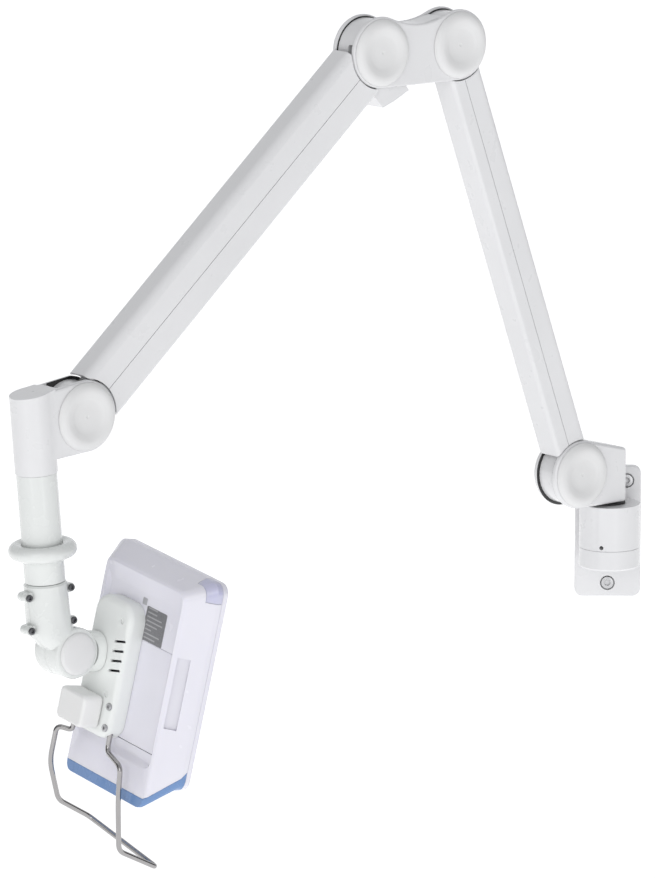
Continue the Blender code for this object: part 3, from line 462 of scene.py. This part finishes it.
def hex_screw(name, head, height, shank, length, key):
    """A socket-head screw in mm: its head stands on z = 0 and its shank runs down."""
    around = 48
    build = bmesh.new()

    def circle(radius, z):
        """A ring of points on a circle."""
        return [build.verts.new((radius * MM * math.cos(2 * math.pi * i / around),
                                 radius * MM * math.sin(2 * math.pi * i / around), z * MM))
                for i in range(around)]

    def hexagon(radius, z):
        """The same number of points on a hexagon of that corner radius."""
        ring = []
        for i in range(around):
            a = 2 * math.pi * i / around
            off = (a % (math.pi / 3)) - math.pi / 6
            reach = radius * math.cos(math.pi / 6) / math.cos(off)
            ring.append(build.verts.new((reach * MM * math.cos(a), reach * MM * math.sin(a), z * MM)))
        return ring

    soft = min(0.6, head * 0.12)
    rings = [circle(shank, -length), circle(shank, 0), circle(head - 0.2, 0), circle(head, 0.2),
             circle(head, height - soft), circle(head - soft * 0.3, height - soft * 0.3),
             circle(head - soft, height), hexagon(key + 0.25, height), hexagon(key, height - 0.25),
             hexagon(key, height * 0.35)]
    for near, far in zip(rings, rings[1:]):
        for i in range(around):
            j = (i + 1) % around
            build.faces.new((near[i], near[j], far[j], far[i]))
    for ring, z in ((rings[0], -length), (rings[-1], height * 0.22)):
        tip = build.verts.new((0, 0, z * MM))
        for i in range(around):
            build.faces.new((ring[i], ring[(i + 1) % around], tip))
    return mesh_from(name, build, 35)


def rounded(width, height, radius, steps=6, centre=(0, 0)):
    """A rectangle with round corners, as an outline in mm."""
    points = []
    for i, (sx, sy) in enumerate(((1, 1), (-1, 1), (-1, -1), (1, -1))):
        cx = centre[0] + sx * (width / 2 - radius)
        cy = centre[1] + sy * (height / 2 - radius)
        for k in range(steps + 1):
            a = math.radians(90 * i + 90 * k / steps)
            points.append((cx + radius * math.cos(a), cy + radius * math.sin(a)))
    return points


def plate(name, outline, low, high, soft):
    """A thin plate with a softened upper rim; the outline is in mm, the heights in metres."""
    build = bmesh.new()
    cx = sum(a for a, b in outline) / len(outline)
    cy = sum(b for a, b in outline) / len(outline)

    def ring(inset, z):
        """The outline moved in towards its middle, at a height."""
        made = []
        for a, b in outline:
            away = Vector((a - cx, b - cy))
            moved = away * (1 - inset / away.length)
            made.append(build.verts.new(((cx + moved.x) * MM, (cy + moved.y) * MM, z)))
        return made

    rings = [ring(0, low), ring(0, high - soft * MM), ring(soft * 0.3, high - soft * 0.3 * MM),
             ring(soft, high)]
    for near, far in zip(rings, rings[1:]):
        for i in range(len(near)):
            j = (i + 1) % len(near)
            build.faces.new((near[i], near[j], far[j], far[i]))
    build.faces.new(rings[0])
    build.faces.new(list(reversed(rings[-1])))
    return mesh_from(name, build)


def seat_of(node, axis):
    """The frame of a turned node: Z along its axis, its origin at the lowest end."""
    z = axis.normalized()
    x = z.cross(Vector((0.2, 0.3, 0.9))).normalized()
    y = z.cross(x)
    reach = []
    for direction in (x, y, z):
        along = [vertex.co.dot(direction) for vertex in NODES[node].data.vertices]
        reach.append((min(along), max(along)))
    middle = [(low + high) / 2 for low, high in reach]
    origin = x * middle[0] + y * middle[1] + z * reach[2][0]
    return placed(origin, x, y, z), reach[2][1] - reach[2][0]


# ---------------------------------------------------------------- every CAD node's finish
SHARP_ANGLE = 38
SOFT_EDGE = 0.4

def angle_shading(degrees):
    """A node group that keeps edges sharper than an angle and smooths the rest."""
    group = bpy.data.node_groups.new("shade_by_angle", "GeometryNodeTree")
    group.interface.new_socket("Geometry", in_out="INPUT", socket_type="NodeSocketGeometry")
    group.interface.new_socket("Geometry", in_out="OUTPUT", socket_type="NodeSocketGeometry")
    entry = group.nodes.new("NodeGroupInput")
    exit_node = group.nodes.new("NodeGroupOutput")
    faces = group.nodes.new("GeometryNodeSetShadeSmooth")
    edges = group.nodes.new("GeometryNodeSetShadeSmooth")
    edges.domain = "EDGE"
    edges.inputs["Shade Smooth"].default_value = False
    angle = group.nodes.new("GeometryNodeInputMeshEdgeAngle")
    above = group.nodes.new("ShaderNodeMath")
    above.operation = "GREATER_THAN"
    above.inputs[1].default_value = math.radians(degrees)
    group.links.new(entry.outputs[0], faces.inputs["Geometry"])
    group.links.new(faces.outputs[0], edges.inputs["Geometry"])
    group.links.new(angle.outputs["Unsigned Angle"], above.inputs[0])
    group.links.new(above.outputs[0], edges.inputs["Selection"])
    group.links.new(edges.outputs[0], exit_node.inputs[0])
    return group


BY_ANGLE = angle_shading(SHARP_ANGLE)
SOFT_EDGES = {"monitor_rear_shell": 1.2, "bail_clamp_block": 0.5, "wall_bracket": 0.5,
              "wrist_housing": 0.8, "base_yoke": 0.6, "monitor_front_frame": 0.5}
NO_BEVEL = ("lower_arm_balance_spring", "forearm_balance_spring", "lcd_screen", "main_board",
            "lower_level_rod", "forearm_level_rod")


def finish_node(name):
    """Weld a node's triangles, round its edges a little and shade it by angle."""
    made = NODES[name]
    mesh = made.data
    if "custom_normal" in mesh.attributes:
        mesh.attributes.remove(mesh.attributes["custom_normal"])
    mesh.shade_smooth()
    weld = made.modifiers.new("weld", "WELD")
    weld.merge_threshold = 0.01 * MM
    flat = made.modifiers.new("flat", "DECIMATE")
    flat.decimate_type = "DISSOLVE"
    flat.angle_limit = math.radians(0.6)
    if name not in NO_BEVEL:
        edge = made.modifiers.new("edge", "BEVEL")
        edge.width = SOFT_EDGES.get(name, SOFT_EDGE) * MM
        edge.segments = 2
        edge.limit_method = "ANGLE"
        edge.angle_limit = math.radians(SHARP_ANGLE)
    shading = made.modifiers.new("shading", "NODES")
    shading.node_group = BY_ANGLE
    weights = made.modifiers.new("weights", "WEIGHTED_NORMAL")
    weights.keep_sharp = True
    mesh.materials.clear()
    mesh.materials.append(look(SLOT_OF[name]))


for node_name in NODES:
    finish_node(node_name)

# The base, wrist and elbow covers get paint with painted shade in their hinge slots.
SLOT_SHADE_PAINTS = {
    "base_yoke": with_painted_slot_shade("base_paint_with_painted_slot_shade", ARM_WHITE, joint_place("lower_arm_lift"),
                       base_opening),
    "wrist_housing": with_painted_slot_shade("wrist_paint_with_painted_slot_shade", ARM_WHITE, joint_place("wrist_level"),
                           wrist_opening),
}
cover_paint_with_slot_shade = with_painted_slot_shade("elbow_paint_with_painted_slot_shade", ARM_WHITE, joint_place("elbow_level"),
                    elbow_opening)
SLOT_SHADE_PAINTS["elbow_front_cover"] = cover_paint_with_slot_shade
SLOT_SHADE_PAINTS["elbow_rear_cover"] = cover_paint_with_slot_shade
for node_name, paint in SLOT_SHADE_PAINTS.items():
    NODES[node_name].data.materials[0] = paint


# ---------------------------------------------------------------- finer pieces for CAD nodes
HUB_COVER = 37
TILT_COVER = 23

def stand_for(node, name, mesh, matrix=None):
    """A finer piece in place of a CAD node."""
    made = finish_piece(name, mesh, BODY_OF[node], SLOT_OF[node], matrix)
    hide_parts(node)
    return made


def hub_covers():
    """Soft round covers: a full rim round a shallow dish with a small pit at its middle."""
    dish = smooth_line([(1.8, 1.5), (6, 1.5), (12, 1.75), (17.5, 2.6), (22, 4.1), (26.5, 5.35),
                        (30, 5.4), (33, 4.5), (35.4, 2.7), (36.7, 1.1), (HUB_COVER, 0.3)])
    profile = [(0, 1.0), (1.0, 1.05), (1.5, 1.3)] + [tuple(p) for p in dish]
    profile += [(HUB_COVER, 0), (0, 0)]
    small = smooth_line([(0.01, 4.2), (8, 4.1), (15, 3.7), (19.4, 3.0), (21.6, 2.0), (22.6, 0.9),
                         (TILT_COVER, 0.2)])
    small = [(0, 4.2)] + [tuple(p) for p in small[1:]] + [(TILT_COVER, 0), (0, 0)]
    for node in sorted(NODES):
        if "_cap_" not in node or node == "barrel_cap":
            continue
        axis = -HINGE if "rear" in node else HINGE
        place, _ = seat_of(node, axis)
        outline = small if node.startswith("tilt") else profile
        stand_for(node, node.replace("_cap_", "_cover_"), turned(node + "_mesh", outline), place)


def tube_and_ring():
    """The drop tube with its end grooves and the round grip ring."""
    place, length = seat_of("drop_tube", TUBE_AXIS)
    top = length / MM
    outline = [(0, 0), (14, 0), (14, 42), (21.2, 42), (21.9, 42.4), (22, 43), (22, 160.6),
               (21.9, 161.4), (21.2, 161.7), (14, 161.7), (14, top), (0, top)]
    stand_for("drop_tube", "drop_tube_lacquered", turned("drop_tube_mesh", outline), place)
    place, length = seat_of("ring_handle", TUBE_AXIS)
    minor, major, inner = 8.4, 28.6, 22.3
    half = length / MM / 2
    bulge = []
    for i in range(37):
        a = math.radians(112 - 224 * i / 36)
        bulge.append((major + minor * math.cos(a), half + minor * math.sin(a) * 0.995))
    foot = half + 7.4
    outline = [(inner, half + 7.0), (inner + 0.6, min(foot, 2 * half - 0.05))] + bulge
    outline += [(inner + 0.6, 0.05), (inner, 0.6)]
    stand_for("ring_handle", "ring_handle_smooth", turned("ring_mesh", outline, closed=True), place)


def screws():
    """Every screw with a hexagon socket in its head."""
    rows = [(f"wall_screw_{where}", Vector((0, -1, 0)), 7.2, 3.0)
            for where in ("upper_left", "upper_right", "lower")]
    rows += [(f"neck_screw_{i}", HINGE, 3.8, 2.0) for i in (1, 2, 3, 4)]
    rows += [(f"holder_screw_{i}", DISPLAY_OUT, 4.0, 2.0) for i in (1, 2)]
    for node, axis, head, shank in rows:
        place, length = seat_of(node, axis)
        height = head * 0.62
        reach = length / MM - height
        mesh = hex_screw(node + "_mesh", head, height, shank, reach, head * 0.5)
        stand_for(node, node + "_hex", mesh, place @ Matrix.Translation((0, 0, reach * MM)))


def bail():
    """The chrome wire under the holder: corners in the display's frame, with bend lengths, in mm."""
    corners = [((-27, -64, 78), 0), ((-27, -84, 78), 5), ((-42, -84, 88), 7),
               ((-42, -124, 88), 12), ((-42, -168, 66), 8), ((-42, -187, 20), 6),
               ((43, -217, -18), 6), ((43, -198, 38), 8), ((43, -140, 53), 12),
               ((43, -103, 59), 8), ((4, -98, 50), 8), ((4, -76, 50), 0)]
    points = []
    for i, (corner, radius) in enumerate(corners):
        here = Vector(corner) * MM
        if radius == 0:
            points.append(here)
            continue
        before = (Vector(corners[i - 1][0]) * MM - here).normalized() * radius * MM
        after = (Vector(corners[i + 1][0]) * MM - here).normalized() * radius * MM
        for k in range(13):
            t = k / 12
            points.append(here + before * (1 - t) ** 2 + after * t ** 2)
    points = [DISPLAY @ p for p in points]
    stand_for("wire_bail", "wire_bail_chrome", tube("bail_mesh", points, 2.9 * MM))


# ---------------------------------------------------------------- small things on the display
PRINT_ROW = 4.6 * MM


def rating_plate_look():
    """A dark printed plate: rows of plain bars, which say nothing."""
    shade = Shade("plate_dark_print")
    seen = shade.from_point(DISPLAY.translation)
    across = shade.dot(seen, DISPLAY.to_3x3() @ Vector((1, 0, 0)))
    up = shade.dot(seen, DISPLAY.to_3x3() @ Vector((0, 1, 0)))
    row = shade.math("FRACT", shade.math("MULTIPLY", up, 1 / PRINT_ROW))
    in_row = shade.math("LESS_THAN", shade.math("ABSOLUTE", shade.math("SUBTRACT", row, 0.5)), 0.16)
    number = shade.math("FLOOR", shade.math("MULTIPLY", up, 1 / PRINT_ROW))
    end = shade.span(shade.math("FRACT", shade.math("MULTIPLY", shade.math("SINE", shade.math(
        "MULTIPLY", number, 12.9)), 43.7)), 0, 1, 22 * MM, 41 * MM)
    inside = both(shade, shade.math("LESS_THAN", across, end),
                  shade.math("GREATER_THAN", across, 12 * MM))
    print_mask = shade.math("MULTIPLY", both(shade, in_row, inside), 0.45)
    speck = shade.span(shade.noise(1300, 2), 0.35, 0.65, 0, 1)
    base = shade.mix(speck, (0.17, 0.17, 0.18), (0.24, 0.24, 0.25))
    base = shade.mix(print_mask, base, (0.62, 0.62, 0.63))
    shade.feed(shade.shader.inputs["Base Color"], base)
    shade.shader.inputs["Roughness"].default_value = 0.42
    return shade.material


def plates():
    """The dark plate and the small square mark on the floor of the display's recess."""
    look_dark = rating_plate_look()
    mark = coated("mark_grey_film", (0.45, 0.45, 0.47), 0.4, grain=1200).material
    for name, size, centre, corner, paint in (("rating_plate", (36, 37), (27, 49.5), 1.5, look_dark),
                                              ("square_mark", (7.5, 7.5), (3, 71), 0.8, mark)):
        mesh = plate(name + "_mesh", rounded(*size, corner, 4, centre), RECESS_FLOOR,
                     RECESS_FLOOR + 0.35 * MM, 0.15)
        finish_piece(name, mesh, "monitor", "monitor_plastic", DISPLAY, paint)


hub_covers()
tube_and_ring()
screws()
bail()
plates()


# ---------------------------------------------------------------- studio
SKY_LEVEL = 1.0
SKY_SIDE_FALL = 0.88
SKY_TOP_FALL = 0.45
FLOOR_GLOW = 0.60
FLOOR_RADIUS = 60
FLOOR_HEIGHT = -0.75
KEY_POWER = 0.30
KEY_DIRECTION = Vector((0.30, 0.95, -0.45))
STRIP_SIZE = (0.22, 2.6)
STRIP_AIM = Vector((-0.3, -0.3, 0.2))
STRIPS = (("strip_left", Vector((-2.2, -3.4, 0.5)), 3),
          ("strip_right", Vector((1.3, -3.6, 0.5)), 5))
CAMERA_PLACE = (-0.3247, -6.8149, 1.4208)
CAMERA_TILT = 79.08
CAMERA_LENS = 245.7


def studio():
    """A wide pale floor, a pale sky, a soft key and two strip lights."""
    build = bmesh.new()
    bmesh.ops.create_circle(build, cap_ends=True, segments=96, radius=FLOOR_RADIUS)
    floor_mesh = mesh_from("floor_mesh", build)
    shade = Shade("floor_white")
    drift = shade.noise(0.8, 2)
    shade.feed(shade.shader.inputs["Base Color"], shade.mix(drift, (0.93, 0.93, 0.935),
                                                            (0.95, 0.95, 0.95)))
    shade.shader.inputs["Roughness"].default_value = 0.9
    shade.shader.inputs["Specular IOR Level"].default_value = 0.1
    shade.shader.inputs["Emission Color"].default_value = (1, 1, 1, 1)
    shade.shader.inputs["Emission Strength"].default_value = FLOOR_GLOW
    floor_mesh.materials.append(shade.material)
    floor = bpy.data.objects.new("floor", floor_mesh)
    floor.location = (0, 0, FLOOR_HEIGHT)
    bpy.context.scene.collection.objects.link(floor)

    world = bpy.data.worlds.new("sky")
    world.use_nodes = True
    tree = world.node_tree
    where = tree.nodes.new("ShaderNodeTexCoord")
    parts = tree.nodes.new("ShaderNodeSeparateXYZ")
    tree.links.new(where.outputs["Generated"], parts.inputs[0])

    def sum_of(operation, a, b):
        """One sum in the sky's nodes."""
        node = tree.nodes.new("ShaderNodeMath")
        node.operation = operation
        for socket, value in zip(node.inputs, (a, b)):
            if isinstance(value, bpy.types.NodeSocket):
                tree.links.new(value, socket)
            else:
                socket.default_value = value
        return node.outputs[0]

    sideways = sum_of("ABSOLUTE", parts.outputs["X"], 0.0)
    side_fall = sum_of("MULTIPLY", sum_of("POWER", sideways, 2.5), SKY_SIDE_FALL)
    top_fall = sum_of("MULTIPLY", sum_of("MAXIMUM", parts.outputs["Z"], 0.0), SKY_TOP_FALL)
    strength = sum_of("SUBTRACT", sum_of("SUBTRACT", SKY_LEVEL, side_fall), top_fall)
    sky = tree.nodes["Background"]
    sky.inputs["Color"].default_value = (0.97, 0.98, 1.0, 1)
    tree.links.new(sum_of("MAXIMUM", strength, 0.05), sky.inputs["Strength"])
    bpy.context.scene.world = world

    key = bpy.data.lights.new("key", "SUN")
    key.energy = KEY_POWER
    key.angle = math.radians(35)
    key.color = (1.0, 0.99, 0.975)
    key_object = bpy.data.objects.new("key", key)
    key_object.rotation_euler = KEY_DIRECTION.to_track_quat("-Z", "Y").to_euler()
    bpy.context.scene.collection.objects.link(key_object)
    for name, place, power in STRIPS:
        strip = bpy.data.lights.new(name, "AREA")
        strip.shape = "RECTANGLE"
        strip.size, strip.size_y = STRIP_SIZE
        strip.energy = power
        holder = bpy.data.objects.new(name, strip)
        holder.location = place
        holder.rotation_euler = (STRIP_AIM - place).to_track_quat("-Z", "Y").to_euler()
        bpy.context.scene.collection.objects.link(holder)


def camera():
    """A long lens, a little above the arm."""
    lens = bpy.data.cameras.new("camera")
    lens.lens = CAMERA_LENS
    lens.sensor_width = 36
    lens.sensor_fit = "AUTO"
    lens.clip_start = 0.1
    lens.clip_end = 200
    seen = bpy.data.objects.new("camera", lens)
    seen.location = CAMERA_PLACE
    seen.rotation_euler = (math.radians(CAMERA_TILT), 0, 0)
    bpy.context.scene.collection.objects.link(seen)
    bpy.context.scene.camera = seen


studio()
camera()
bpy.context.scene.view_settings.view_transform = "Standard"
